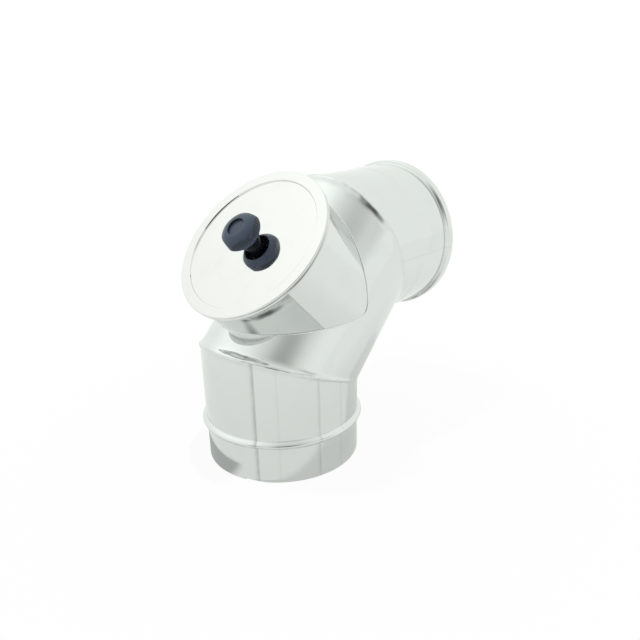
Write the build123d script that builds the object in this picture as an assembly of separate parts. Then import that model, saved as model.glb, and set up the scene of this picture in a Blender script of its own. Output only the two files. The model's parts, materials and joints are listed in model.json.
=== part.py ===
from build123d import *
import math
import os

# Ninety degree flue elbow in three rolled segments, with an inspection branch on its outer side.
# Millimetres. The origin is the centre of the spigot's lower rim, +Z runs up the spigot, and the
# elbow bends towards +X. Y is square to the bend.

# Driving dimensions: sheet and segments
WALL = 0.6                  # stainless sheet
TUBE_RADIUS = 65.0          # outer radius of the three segments
MALE_STEP = 0.6             # the male end is this much smaller in radius than the tube
BEND_ANGLE = 45.0           # turn at each of the two mitres
MALE_LENGTH = 28.4          # plain male end, below the stop bead
STOP_BEAD_WIDTH = 10.0
STOP_BEAD_TOP = 1.4         # width of the bead's flat crest
STOP_BEAD_RISE = 3.2        # how far the bead stands out of the tube
SPIGOT_SHORT_SIDE = 12.6    # bead to lower mitre, on the inside of the bend
GORE_SHORT_SIDE = 63.3      # mitre to mitre, on the inside of the bend
SOCKET_SHORT_SIDE = 39.7    # upper mitre to female ring, on the inside of the bend
BEND_RADIUS = 1.1           # sheet bends at beads and rings, on the outer surface

# Driving dimensions: female socket, its ring and its seal
SOCKET_STEP = 0.4           # the socket is opened by this much in radius for the next male end
SOCKET_STEP_RUN = 0.8       # length of the slope up to it
SOCKET_DEPTH = 34.0         # opened length, before the ring
RING_WIDTH = 8.7
RING_RISE = 2.9
RING_SLOPE = 2.2            # length of the slope from tube to ring
RING_LIP = 1.1              # length of the lip that turns in at the mouth
RING_LIP_DROP = 1.9         # how far that lip turns in
SEAL_GAP = 0.1              # seal to the walls of its groove
SEAL_RELIEF = 0.08          # the pressed seal lies this much behind the bore

# Driving dimensions: inspection branch
BRANCH_STEP = 0.5           # the branch is this much smaller in radius than the tube
BRANCH_NECK = 27.2          # branch above the crown of the gore
MOUTH_BEAD_WIDTH = 6.0
MOUTH_BEAD_TOP = 2.6
MOUTH_BEAD_RISE = 2.7
MOUTH_LIP = 1.0             # straight edge above the bead, which the lid sits on

# Driving dimensions: lid
LID_SHEET = 0.8
LID_OVERHANG = 0.2          # lid past the mouth bead
HEM_DROP = 1.0              # folded edge, below the sheet
HEM_CLEARANCE = 0.4         # folded edge to the mouth
RIM_WIDTH = 8.6             # flat rim round the recessed panel
PANEL_DEPTH = 1.2           # recess of the panel
PANEL_SLOPE = 0.6           # run of the step round the panel

# Driving dimensions: clamp
STUD_RADIUS = 4.0
STUD_HOLE_CLEARANCE = 0.4   # stud in the lid, the plate and the washer
STUD_FIT = 0.03             # stud in the knob, clip on the stud
THREAD_FIT = 0.05           # nut on the stud, with the thread left plain
WASHER_RADIUS = 7.2
WASHER_THICKNESS = 1.6
EXPANSION_RING_HEIGHT = 15.0
EXPANSION_RING_WIDTH = 12.0
EXPANSION_RING_GAP = 0.3    # ring to the branch's bore
EXPANSION_RING_EDGE = 1.2   # chamfer
PLATE_SHEET = 1.5
PLATE_MARGIN = 1.1          # plate inside the expansion ring's outer face
PLATE_RISE = 6.0            # dish of the plate, towards the lid
PLATE_SLOPE = 8.0           # run of the dish's cone
NUT_WIDTH = 13.0            # across the flats
NUT_HEIGHT = 6.5
DRAW_TRAVEL = 3.6           # travel of the nut from tight to slack
TRAVEL_MARGIN = 0.8         # nut to clip at the end of that travel
CLIP_THICKNESS = 1.0
CLIP_RADIUS = 6.5
CLIP_GROOVE_DEPTH = 0.7
CLIP_OPENING = 5.0
STUD_TIP = 2.4              # stud past the clip
STUD_CHAMFER = 0.8

# Driving dimensions: knob, with heights above the washer
KNOB_RADIUS = 16.8
KNOB_HEIGHT = 19.4
KNOB_SKIRT_HEIGHT = 5.8     # hub face to the lower edge of the skirt
KNOB_SKIRT_INSET = 2.6      # lower edge of the skirt inside the middle of the facets
KNOB_WAIST_HEIGHT = 12.4    # hub face to the widest section
KNOB_WALL = 1.4
KNOB_CAVITY_DEPTH = 6.6
HUB_RADIUS = 6.6
STUD_BITE = 13.0            # stud inside the knob
DIMPLE_RADIUS = 7.4
DIMPLE_DEPTH = 1.5
FACETS = 5
FACET_DEPTH = 1.6           # middle of a facet inside the knob's round, at its widest section
FACET_LEAN = 12.0           # degrees, outwards at the top
FACET_TURN = 20.0           # degrees, from the branch's sideways direction to the first facet
FACET_EDGE = 0.3            # rounding of the facets' edges

# Places that follow from the dimensions
MITRE_RUN = TUBE_RADIUS * math.tan(math.radians(BEND_ANGLE / 2))
BEAD_BASE = MALE_LENGTH
BEAD_END = BEAD_BASE + STOP_BEAD_WIDTH
MITRE_HEIGHT = BEAD_END + SPIGOT_SHORT_SIDE + MITRE_RUN
GORE_LENGTH = GORE_SHORT_SIDE + 2 * MITRE_RUN
RING_START = SOCKET_SHORT_SIDE + MITRE_RUN
RING_END = RING_START + RING_WIDTH
SPARE = 4 * TUBE_RADIUS     # more than any cut needs

UP = Vector(0, 0, 1)
SIDE = Vector(0, 1, 0)
GORE_AXIS = UP.rotate(Axis.Y, BEND_ANGLE)
SOCKET_AXIS = UP.rotate(Axis.Y, 2 * BEND_ANGLE)
BRANCH_AXIS = GORE_AXIS.rotate(Axis.Y, -90)
LOWER_MITRE = UP * MITRE_HEIGHT
GORE_MIDDLE = LOWER_MITRE + GORE_AXIS * (GORE_LENGTH / 2)
UPPER_MITRE = LOWER_MITRE + GORE_AXIS * GORE_LENGTH

gore_frame = Plane(LOWER_MITRE, x_dir=SIDE, z_dir=GORE_AXIS)
socket_frame = Plane(UPPER_MITRE, x_dir=SIDE, z_dir=SOCKET_AXIS)
branch_frame = Plane(GORE_MIDDLE, x_dir=SIDE, z_dir=BRANCH_AXIS)
lower_cut = Plane(LOWER_MITRE, x_dir=SIDE, z_dir=UP.rotate(Axis.Y, BEND_ANGLE / 2))
upper_cut = Plane(UPPER_MITRE, x_dir=SIDE, z_dir=UP.rotate(Axis.Y, 1.5 * BEND_ANGLE))

# Heights along the branch, from the gore's axis
BRANCH_RADIUS = TUBE_RADIUS - BRANCH_STEP
BRANCH_BORE = BRANCH_RADIUS - WALL
MOUTH = TUBE_RADIUS + BRANCH_NECK
LID_TOP = MOUTH + LID_SHEET
PANEL_TOP = LID_TOP - PANEL_DEPTH
PANEL_UNDER = PANEL_TOP - LID_SHEET
KNOB_FOOT = PANEL_TOP + WASHER_THICKNESS
RING_UNDER = PANEL_UNDER - EXPANSION_RING_HEIGHT
DISH_TOP = RING_UNDER + PLATE_RISE
NUT_TOP = DISH_TOP - PLATE_SHEET
CLIP_TOP = NUT_TOP - NUT_HEIGHT - DRAW_TRAVEL - TRAVEL_MARGIN
STUD_END = CLIP_TOP - CLIP_THICKNESS - STUD_TIP
KNOB_SKIRT_RADIUS = KNOB_RADIUS - FACET_DEPTH - KNOB_SKIRT_INSET
SOCKET_RADIUS = TUBE_RADIUS + SOCKET_STEP


def spin(profile):
    """Solid of revolution from points or lines given as radius and height."""
    return revolve(profile, Axis.Z)


def section(points):
    """Closed profile through corners given as radius and height."""
    return make_face(Plane.XZ * Polyline(*points, close=True))


def sheet_section(points, wall):
    """Profile of bent sheet: its outer surface runs through the points, with rounded bends."""
    outer = FilletPolyline(*points, radius=BEND_RADIUS)
    return make_face(Plane.XZ * offset(outer, amount=wall, side=Side.LEFT, closed=True))


def ring(inner, outer, low, high):
    """Plain ring between two radii and two heights."""
    return spin(section([(inner, low), (outer, low), (outer, high), (inner, high)]))


def lower_spigot():
    male = TUBE_RADIUS - MALE_STEP
    crest = TUBE_RADIUS + STOP_BEAD_RISE
    slope = (STOP_BEAD_WIDTH - STOP_BEAD_TOP) / 2
    path = [
        (male, 0),
        (male, BEAD_BASE),
        (crest, BEAD_BASE + slope),
        (crest, BEAD_END - slope),
        (TUBE_RADIUS, BEAD_END),
        (TUBE_RADIUS, MITRE_HEIGHT + MITRE_RUN + TUBE_RADIUS),
    ]
    return split(spin(sheet_section(path, WALL)), bisect_by=lower_cut, keep=Keep.BOTTOM)


def middle_gore():
    tube = gore_frame * ring(TUBE_RADIUS - WALL, TUBE_RADIUS, -TUBE_RADIUS, GORE_LENGTH + TUBE_RADIUS)
    tube = split(tube, bisect_by=lower_cut, keep=Keep.TOP)
    tube = split(tube, bisect_by=upper_cut, keep=Keep.BOTTOM)
    opening = branch_frame * extrude(Circle(BRANCH_BORE), SPARE)
    return tube - opening


def upper_socket():
    crest = SOCKET_RADIUS + RING_RISE
    socket_start = RING_START - SOCKET_DEPTH
    path = [
        (TUBE_RADIUS, -TUBE_RADIUS),
        (TUBE_RADIUS, socket_start - SOCKET_STEP_RUN),
        (SOCKET_RADIUS, socket_start),
        (SOCKET_RADIUS, RING_START),
        (crest, RING_START + RING_SLOPE),
        (crest, RING_END - RING_LIP),
        (crest - RING_LIP_DROP, RING_END),
    ]
    tube = socket_frame * spin(sheet_section(path, WALL))
    return split(tube, bisect_by=upper_cut, keep=Keep.TOP)


def socket_seal():
    inner = SOCKET_RADIUS - WALL + SEAL_RELIEF
    outer = SOCKET_RADIUS + RING_RISE - WALL - SEAL_GAP
    low = RING_START + RING_SLOPE + WALL
    high = RING_END - RING_LIP - WALL
    return socket_frame * ring(inner, outer, low, high)


def inspection_branch():
    crest = BRANCH_RADIUS + MOUTH_BEAD_RISE
    slope = (MOUTH_BEAD_WIDTH - MOUTH_BEAD_TOP) / 2
    bead_end = MOUTH - MOUTH_LIP
    path = [
        (BRANCH_RADIUS, 0),
        (BRANCH_RADIUS, bead_end - MOUTH_BEAD_WIDTH),
        (crest, bead_end - MOUTH_BEAD_WIDTH + slope),
        (crest, bead_end - slope),
        (BRANCH_RADIUS, bead_end),
        (BRANCH_RADIUS, MOUTH),
    ]
    tube = branch_frame * spin(sheet_section(path, WALL))
    gore_core = gore_frame * extrude(Circle(TUBE_RADIUS), SPARE, both=True)
    return tube - gore_core


def inspection_lid():
    edge = BRANCH_RADIUS + MOUTH_BEAD_RISE + LID_OVERHANG
    hole = STUD_RADIUS + STUD_HOLE_CLEARANCE
    hem = BRANCH_RADIUS + HEM_CLEARANCE
    panel = edge - RIM_WIDTH
    outline = section(
        [
            (hole, PANEL_UNDER),
            (hole, PANEL_TOP),
            (panel - PANEL_SLOPE, PANEL_TOP),
            (panel, LID_TOP),
            (edge, LID_TOP),
            (edge, MOUTH - HEM_DROP),
            (hem, MOUTH - HEM_DROP),
            (hem, MOUTH),
            (panel + LID_SHEET, MOUTH),
            (panel + LID_SHEET - PANEL_SLOPE, PANEL_UNDER),
        ]
    )
    corners = outline.vertices().group_by(Axis.X)[-1]
    return branch_frame * spin(fillet(corners, LID_SHEET * 0.9))


def expansion_ring():
    outer = BRANCH_BORE - EXPANSION_RING_GAP
    body = ring(outer - EXPANSION_RING_WIDTH, outer, RING_UNDER, PANEL_UNDER)
    rims = body.edges().filter_by(GeomType.CIRCLE)
    return branch_frame * chamfer(rims, EXPANSION_RING_EDGE)


def pressure_plate():
    edge = BRANCH_BORE - EXPANSION_RING_GAP - PLATE_MARGIN
    seat = BRANCH_BORE - EXPANSION_RING_GAP - EXPANSION_RING_WIDTH
    hole = STUD_RADIUS + STUD_HOLE_CLEARANCE
    path = [
        (hole, DISH_TOP),
        (seat - PLATE_SLOPE, DISH_TOP),
        (seat, RING_UNDER),
        (edge, RING_UNDER),
    ]
    below = [(r, h - PLATE_SHEET) for r, h in reversed(path)]
    return branch_frame * spin(section(path + below))


def plate_nut():
    across_corners = RegularPolygon(NUT_WIDTH / 2, 6, major_radius=False)
    body = Pos(0, 0, NUT_TOP - NUT_HEIGHT) * extrude(across_corners - Circle(STUD_RADIUS + THREAD_FIT), NUT_HEIGHT)
    return branch_frame * body


def knob_washer():
    return branch_frame * ring(STUD_RADIUS + STUD_HOLE_CLEARANCE, WASHER_RADIUS, PANEL_TOP, KNOB_FOOT)


def clamp_stud():
    groove = STUD_RADIUS - CLIP_GROOVE_DEPTH
    top = KNOB_FOOT + STUD_BITE
    outline = section(
        [
            (0, STUD_END),
            (STUD_RADIUS - STUD_CHAMFER, STUD_END),
            (STUD_RADIUS, STUD_END + STUD_CHAMFER),
            (STUD_RADIUS, CLIP_TOP - CLIP_THICKNESS),
            (groove, CLIP_TOP - CLIP_THICKNESS),
            (groove, CLIP_TOP),
            (STUD_RADIUS, CLIP_TOP),
            (STUD_RADIUS, top),
            (0, top),
        ]
    )
    return branch_frame * spin(outline)


def retaining_clip():
    inner = STUD_RADIUS - CLIP_GROOVE_DEPTH + STUD_FIT
    outline = Circle(CLIP_RADIUS) - Circle(inner) - Pos(CLIP_RADIUS, 0) * Rectangle(2 * CLIP_RADIUS, CLIP_OPENING)
    return branch_frame * Pos(0, 0, CLIP_TOP - CLIP_THICKNESS) * extrude(outline, CLIP_THICKNESS)


def knob():
    skirt = (KNOB_SKIRT_RADIUS, KNOB_SKIRT_HEIGHT)
    waist = (KNOB_RADIUS, KNOB_WAIST_HEIGHT)
    crown = (DIMPLE_RADIUS, KNOB_HEIGHT)
    flank = Spline(skirt, waist, tangents=[(0.8, 1), (0, 1)])
    dome = Spline(waist, crown, tangents=[(0, 1), (-1, 0.15)])
    rest = Polyline(
        crown,
        (DIMPLE_RADIUS, KNOB_HEIGHT - DIMPLE_DEPTH),
        (0, KNOB_HEIGHT - DIMPLE_DEPTH),
        (0, 0),
        (HUB_RADIUS, 0),
        (HUB_RADIUS, KNOB_SKIRT_HEIGHT + KNOB_CAVITY_DEPTH),
        (KNOB_SKIRT_RADIUS - KNOB_WALL, KNOB_SKIRT_HEIGHT + KNOB_CAVITY_DEPTH),
        (KNOB_SKIRT_RADIUS - KNOB_WALL, KNOB_SKIRT_HEIGHT),
        skirt,
    )
    body = spin(make_face(Plane.XZ * (flank + dome + rest)))
    middle = KNOB_RADIUS - FACET_DEPTH
    sagitta = middle - KNOB_RADIUS * math.cos(math.pi / FACETS)
    offset = (KNOB_RADIUS**2 - middle**2) / (2 * sagitta)
    drum = Pos(-offset, 0, KNOB_WAIST_HEIGHT) * Rot(0, FACET_LEAN, 0) * Cylinder(middle + offset, 4 * KNOB_HEIGHT)
    before = body.edges()
    for turn in range(FACETS):
        body &= Rot(0, 0, FACET_TURN + turn * 360 / FACETS) * drum
    body = fillet(body.edges() - before, FACET_EDGE)
    body -= extrude(Circle(STUD_RADIUS + STUD_FIT), STUD_BITE)
    return branch_frame * Pos(0, 0, KNOB_FOOT) * body


PIECES = [
    lower_spigot,
    middle_gore,
    upper_socket,
    socket_seal,
    inspection_branch,
    inspection_lid,
    expansion_ring,
    pressure_plate,
    plate_nut,
    knob_washer,
    clamp_stud,
    retaining_clip,
    knob,
]

os.makedirs("parts", exist_ok=True)
for piece in PIECES:
    export_step(piece(), f"parts/{piece.__name__}.step")
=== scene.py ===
# %% [markdown]
# # A ninety degree flue elbow with an inspection lid
# The real object is bent and welded from thin bright stainless sheet. Three short tubes meet at two
# forty-five degree mitres, a fourth tube of nearly the same size stands on the outer side of the bend, and
# a round lid with a plastic knob closes it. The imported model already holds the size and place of
# every piece, so this lesson only gives each piece its finished surface, and it starts by loading
# that model as a frame to build on.

# %% Load the frame
import json
import math

import bmesh
import bpy
import numpy as np
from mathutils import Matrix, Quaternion, Vector


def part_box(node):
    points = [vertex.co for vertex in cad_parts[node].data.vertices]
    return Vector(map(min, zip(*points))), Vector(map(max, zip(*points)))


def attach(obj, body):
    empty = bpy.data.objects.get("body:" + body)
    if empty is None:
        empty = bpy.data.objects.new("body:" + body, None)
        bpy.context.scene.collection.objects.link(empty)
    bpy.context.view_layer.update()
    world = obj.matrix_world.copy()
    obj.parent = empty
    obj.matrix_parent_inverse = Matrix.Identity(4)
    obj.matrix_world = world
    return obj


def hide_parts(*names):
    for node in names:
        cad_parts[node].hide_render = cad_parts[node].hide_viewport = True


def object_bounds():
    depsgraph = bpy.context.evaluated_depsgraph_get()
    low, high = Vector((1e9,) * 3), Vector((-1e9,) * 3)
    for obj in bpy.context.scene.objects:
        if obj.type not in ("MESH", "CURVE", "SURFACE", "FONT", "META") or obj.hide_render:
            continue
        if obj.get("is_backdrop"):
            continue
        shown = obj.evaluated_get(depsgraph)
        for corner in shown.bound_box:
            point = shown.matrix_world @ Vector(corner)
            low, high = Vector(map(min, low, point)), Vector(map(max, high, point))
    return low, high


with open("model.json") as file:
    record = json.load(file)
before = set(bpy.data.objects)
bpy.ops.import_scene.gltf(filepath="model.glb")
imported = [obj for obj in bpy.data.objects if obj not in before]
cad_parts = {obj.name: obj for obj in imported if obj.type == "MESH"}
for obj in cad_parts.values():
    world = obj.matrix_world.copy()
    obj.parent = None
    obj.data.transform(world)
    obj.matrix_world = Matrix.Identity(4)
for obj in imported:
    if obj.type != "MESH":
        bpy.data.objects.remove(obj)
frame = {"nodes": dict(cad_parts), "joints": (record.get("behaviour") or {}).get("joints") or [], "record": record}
cad_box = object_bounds()
print("nodes in the frame:", ", ".join(sorted(frame["nodes"])))

# %% [markdown]
# ## Measuring the frame
# A fitting like this is set out from its centre lines. The mounts give the axis of each end, the
# lid's joint gives the axis of the branch, and the corners of the nodes' boxes give the radii.
# Reading them from the frame means that no size has to be fitted by eye. The work below is in
# millimetres, which suits sheet metal, and is turned into metres when a mesh is made.

# %% Centre lines and radii
MM = 0.001
joints = {joint["name"]: joint for joint in frame["joints"]}
mounts = {mount["name"]: mount for mount in frame["record"]["mounts"]}

side = np.array([0.0, 1.0, 0.0])
spigot_axis = -np.array(mounts["spigot"]["axis"], float)
socket_axis = np.array(mounts["socket"]["axis"], float)
branch_axis = np.array(joints["lid_lift"]["axis"], float)
gore_axis = np.cross(side, branch_axis)


def top_of(node):
    """Highest corner of a node's box, in millimetres."""
    return np.array(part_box(node)[1]) / MM


tube_radius = top_of("middle_gore")[1]
half_turn = math.tan(math.radians(22.5))
lower_mitre = spigot_axis * (top_of("lower_spigot")[2] - tube_radius * half_turn)
socket_height = mounts["socket"]["pos_m"][2] / MM
upper_mitre = np.array([socket_height - lower_mitre[2], 0.0, socket_height])
gore_middle = (lower_mitre + upper_mitre) / 2
half_gore = float(np.dot(upper_mitre - gore_middle, gore_axis))
lid_centre = np.array(joints["knob_turn"]["pos_m"], float) / MM
lid_top = float(np.dot(lid_centre - gore_middle, branch_axis))
print(f"tube radius {tube_radius:.2f} mm, gore {2 * half_gore:.1f} mm long, lid {lid_top:.1f} mm out")

# %% [markdown]
# ## Lines and grids
# Sheet metal is easiest to think of as a line with a thickness. The helpers below draw such a line
# with rounded bends, step inwards by one sheet thickness, and turn both about an axis. A modifier
# could do the same, but polished metal shows every uneven facet, so the rows are placed one by one:
# a support row close to each end of a straight run keeps the shading flat along it.

# %% Lines of bent sheet
SUPPORT = 0.35
SUPPORT_LIMIT = 0.2
RUN_STATIONS = (0.35, 0.65)
BEND_ROOM = 0.48
ARC_STEP = math.radians(9)
SWELL_ROUND = 1.3


def straight(start, end):
    """Points inside a straight run, with a support point near each end."""
    length = np.linalg.norm(end - start)
    near = min(SUPPORT / length, SUPPORT_LIMIT)
    shares = [near, *RUN_STATIONS, 1 - near]
    return [start + (end - start) * share for share in shares]


def bend(before, here, after, radius):
    """Points of the arc that rounds one corner of a line."""
    into = (here - before) / np.linalg.norm(here - before)
    out = (after - here) / np.linalg.norm(after - here)
    turn = math.acos(np.clip(np.dot(into, out), -1, 1))
    room = BEND_ROOM * min(np.linalg.norm(here - before), np.linalg.norm(after - here))
    setback = min(radius * math.tan(turn / 2), room)
    way = math.copysign(1, into[0] * out[1] - into[1] * out[0])
    start = here - into * setback
    spoke = np.array([into[1], -into[0]]) * way * setback / math.tan(turn / 2)
    steps = max(3, math.ceil(turn / ARC_STEP))
    points = []
    for angle in np.linspace(0, way * turn, steps + 1):
        c, s = math.cos(angle), math.sin(angle)
        points.append(start - spoke + np.array([c * spoke[0] - s * spoke[1], s * spoke[0] + c * spoke[1]]))
    return points


def bent_line(corners, radius):
    """Line of radius and height through its corners, each rounded by one radius or its own."""
    corners = [np.array(corner, float) for corner in corners]
    radii = np.broadcast_to(radius, len(corners) - 2)
    points = [corners[0]]
    for before, here, after, size in zip(corners, corners[1:], corners[2:], radii):
        arc = bend(before, here, after, size)
        points += straight(points[-1], arc[0]) + arc
    points += straight(points[-1], corners[-1]) + [corners[-1]]
    return np.array(points)


def step_in(line, wall):
    """The same line one sheet thickness to the left of its run, which is inwards."""
    along = np.gradient(line, axis=0)
    along /= np.linalg.norm(along, axis=1)[:, None]
    return line + wall * np.stack([-along[:, 1], along[:, 0]], 1)


def swelling(start, end, crest, steps):
    """Points of a round swelling between two points of a line, without the two points themselves."""
    start, end = np.array(start, float), np.array(end, float)
    share = np.linspace(0, 1, steps + 1)[1:-1]
    ease = share ** 2 * (3 - 2 * share)
    rise = np.sin(math.pi * share) ** SWELL_ROUND
    radius = (start[0] + (end[0] - start[0]) * ease) * (1 - rise) + crest * rise
    return np.stack([radius, start[1] + (end[1] - start[1]) * share], 1)


print("a bend of ninety degrees gets", math.ceil(math.radians(90) / ARC_STEP), "steps")

# %% Grids turned about an axis
COLUMNS = 256
SHARP_ANGLE = math.radians(32)
MERGE = 1e-7
even_angles = np.linspace(0, 2 * math.pi, COLUMNS, endpoint=False)


def directions(angles, out):
    """Unit vectors square to a tube's axis, from the outer side of the bend towards +Y."""
    return np.outer(np.cos(angles), out) + np.outer(np.sin(angles), side)


def turned(line, centre, axis, out, angles):
    """Rows of points made by turning a line of radius and height about an axis."""
    spokes = directions(angles, out)
    return centre + line[:, None, 0:1] * spokes[None] + line[:, None, 1:2] * axis


def quads(rows, columns, close_rows):
    """Faces of a grid, joined round its columns and, for a loop, round its rows."""
    first = np.arange(rows if close_rows else rows - 1)
    row, column = [index.ravel() for index in np.meshgrid(first, np.arange(columns), indexing="ij")]
    below, beside = (row + 1) % rows, (column + 1) % columns
    corners = [(row, column), (row, beside), (below, beside), (below, column)]
    return np.stack([r * columns + c for r, c in corners], 1)


def finished_mesh(name, points, faces, seam=None):
    """Mesh in metres from points in millimetres, welded, smooth and sharp at its real edges."""
    mesh = bpy.data.meshes.new(name)
    mesh.from_pydata((points * MM).tolist(), [], faces.tolist())
    if seam is not None:
        mesh.attributes.new("seam", "FLOAT", "POINT").data.foreach_set("value", seam.astype(np.float32))
    shape = bmesh.new()
    shape.from_mesh(mesh)
    bmesh.ops.remove_doubles(shape, verts=shape.verts, dist=MERGE)
    bmesh.ops.recalc_face_normals(shape, faces=shape.faces)
    shape.to_mesh(mesh)
    shape.free()
    mesh.shade_smooth()
    mesh.set_sharp_from_angle(angle=SHARP_ANGLE)
    return mesh


def place(name, mesh, body, node=None):
    """Object for a mesh, riding on its body and standing for its node."""
    piece = bpy.data.objects.new(name, mesh)
    bpy.context.scene.collection.objects.link(piece)
    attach(piece, body)
    if node:
        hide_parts(node)
    print(f"{name}: {len(mesh.polygons)} faces")
    return piece


def grid_piece(name, rows, body, node=None, seam=None, loop=True):
    """Piece from rows of points that close round the axis and, for a loop, on themselves."""
    faces = quads(rows.shape[0], rows.shape[1], loop)
    marks = None if seam is None else seam.ravel()
    return place(name, finished_mesh(name, rows.reshape(-1, 3), faces, marks), body, node)


pieces = {}
print(COLUMNS, "even columns round a tube")

# %% [markdown]
# ## The mitred seams
# Where two tubes meet, the real edges are turned up, pressed together and welded, which leaves a soft lip
# on the outer side of the bend and not a knife edge. A bevel modifier would need the tubes to be one mesh.
# Instead each tube carries its own half of a short curve that runs from one tube to the next:
# both halves end on the same line, so the surface goes through without a gap.

# %% Half of a mitred seam
WALL = 0.6
SEAM_RISE = 1.8
SEAM_WIDTH = 0.42
SEAM_STEPS = 18
SEAM_ROUND = 1.1
SEAM_SHADE = 0.2
TUBE_REACH = (2.9, 1.7)
GORE_REACH = (5.2, 4.0)
REACH_WAVES = [(0.07, 9, 0.6), (0.05, 23, 0.0)]
LIP_WAVES = [(0.06, 46, 0.0), (0.06, 17, 0.0)]
SKINS = ((0, SEAM_RISE), (WALL, 0))
seam_shares = np.linspace(0, 0.5, SEAM_STEPS)
seam_marks = SEAM_SHADE * (2 * seam_shares) ** 6
run_shares = np.array([0.03, 0.2, 0.4, 0.6, 0.8, 0.97])


def uneven(angles, waves):
    """Factor close to 1 that goes up and down round a tube, from waves of a height, a count and a phase."""
    return 1 + sum(height * np.sin(count * angles + phase) for height, count, phase in waves)


def reach(span, angles):
    """Length of the curve on one side of a seam: longest on the outer side of the bend, and uneven."""
    return (span[0] + span[1] * np.cos(angles)) * uneven(angles, REACH_WAVES)


def seam_rows(centre, axis, out, next_axis, next_out, radius, angles, rise, spans):
    """Rows from a tube's straight wall to the middle of its mitred seam."""
    spokes = directions(angles, out)
    next_spokes = directions(angles, next_out)
    end = radius * np.cos(angles)[:, None] * half_turn
    middle = centre + radius * spokes + end * axis
    back = reach(spans[0], angles)[:, None] * -axis
    ahead = reach(spans[1], angles)[:, None] * next_axis
    lip = rise * uneven(angles, LIP_WAVES) * (0.5 + 0.5 * np.cos(angles)) ** SEAM_ROUND
    rows = []
    for share in seam_shares:
        near, far = (1 - share) ** 3, share ** 3
        normal = (1 - share) * spokes + share * next_spokes
        normal /= np.linalg.norm(normal, axis=1)[:, None]
        raised = lip * math.exp(-((near - far) / SEAM_WIDTH) ** 2)
        rows.append(middle + near * back + far * ahead + raised[:, None] * normal)
    return np.array(rows)


def between(start, end):
    """Rows of a straight run between two rows of points."""
    return start + run_shares[:, None, None] * (end - start)


def closed_shell(skins):
    """Outer rows and then the inner ones backwards, so that the two skins close into one shell."""
    return np.concatenate([skins[0], skins[1][::-1]])


print(f"seam curve {sum(TUBE_REACH) + sum(GORE_REACH):.1f} mm long outside, {SEAM_RISE:.2f} mm proud")

# %% [markdown]
# ## Marks of rolling and welding along the tubes
# Each tube is rolled from flat sheet and closed by one straight weld. The rollers also leave a few
# faint lines along the tube. On polished metal a groove of a tenth of a millimetre is enough to show,
# so the marks are real grooves in the mesh, with extra columns of points beside each one.

# %% Grooves along a tube
GROOVE_STATIONS = (-1.2, -0.7, -0.4, -0.15, 0.1, 0.4, 0.8, 1.4, 2.2, 3.2, 4.4)
GROOVE_SHARPNESS = 4.0
SPIGOT_WELD = (-27.7, 0.16, 2.2, 0.8)
SPIGOT_ROLL_LINES = [(-43.8, 0.03, 1.6, 0.12), (-73.2, 0.10, 1.8, 0.42), (-93.2, 0.05, 1.4, 0.22)]
SOCKET_WELD = (-94.6, 0.02, 1.0, 0.15)
BRANCH_WELD = (-61.0, 0.03, 1.0, 0.25)


def with_grooves(grooves):
    """Even columns round a tube, with more of them beside each groove."""
    extra = [math.radians(g[0]) + np.array(GROOVE_STATIONS) / tube_radius for g in grooves]
    return np.unique(np.round(np.concatenate([even_angles, *extra]) % (2 * math.pi), 6))


def groove_depth(angles, grooves):
    """Depth of the grooves, and how strongly each column is marked by them."""
    depth, mark = np.zeros_like(angles), np.zeros_like(angles)
    for angle, deep, width, strength in grooves:
        away = np.angle(np.exp(1j * (angles - math.radians(angle)))) * tube_radius / width
        fall = np.exp(-np.where(away > 0, away, GROOVE_SHARPNESS * away) ** 2)
        depth += deep * fall
        mark += strength * fall
    return depth, mark


def press(rows, centre, axis, depth):
    """Rows moved towards the axis by the depth of each column."""
    arm = rows - centre
    arm = arm - (arm @ axis)[..., None] * axis
    spoke = arm / np.linalg.norm(arm, axis=-1)[..., None]
    return rows - depth[None, :, None] * spoke


print("grooves on the spigot:", 1 + len(SPIGOT_ROLL_LINES))

# %% [markdown]
# ## A tube with one mitred end
# The first and the last tube are made in the same way, so one function makes both. It turns a line about the
# tube's axis, adds a plain run and half of the seam, and presses the grooves in. Doing that for the outer
# and the inner skin gives a shell with a real thickness. A Solidify modifier could add the thickness,
# but it would thicken the raised lip of the seam as well.

# %% Tube with one mitred end
def mitred_tube(name, node, line, foot, axis, out, mitre, way, grooves, rim=None):
    """Shell of a tube whose seam comes after its line or, where way is -1, before it."""
    angles = with_grooves(grooves)
    depth, mark = groove_depth(angles, grooves)
    spans = (TUBE_REACH, GORE_REACH)
    skins, marks = [], []
    for wall, rise in SKINS:
        base = turned(step_in(line, wall), foot, axis, out, angles)
        if rim:
            base = rim(base, angles)
        radius = tube_radius - wall
        seam = seam_rows(mitre, way * axis, out, way * gore_axis, branch_axis, radius, angles, rise, spans)
        plain = np.zeros(len(base) + len(run_shares))
        if way > 0:
            rows = [base, between(base[-1], seam[0]), seam]
            along = [plain, seam_marks]
        else:
            rows = [seam[::-1], between(seam[0], base[0]), base]
            along = [seam_marks[::-1], plain]
        skins.append(press(np.concatenate(rows), foot, axis, depth))
        marks.append(np.maximum(np.concatenate(along)[:, None], mark[None]))
    return grid_piece(name, closed_shell(skins), "elbow", node, closed_shell(marks))


print("each tube is", len(SKINS), "skins,", WALL, "mm apart")

# %% [markdown]
# ## The lower tube
# The spigot slides into the pipe below up to a swaged stop bead. Its section is one bent line:
# plain end, bead, plain tube. Only the last run differs round the tube, because the mitre is slanted,
# so those rows are worked out for each column.

# %% Lower spigot
STOP_BEAD_START = 29.6
STOP_BEAD_WIDTH = 7.6
BEAD_STEPS = 30
BEAD_MARGIN = 2.4
NOTCH_START = -33.0
NOTCH_END = -18.0
NOTCH_LIFT = 1.0
NOTCH_REACH = 5.0
male_radius = mounts["spigot"]["dims"]["r_mm"]
stop_crest = top_of("lower_spigot")[1]


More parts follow.
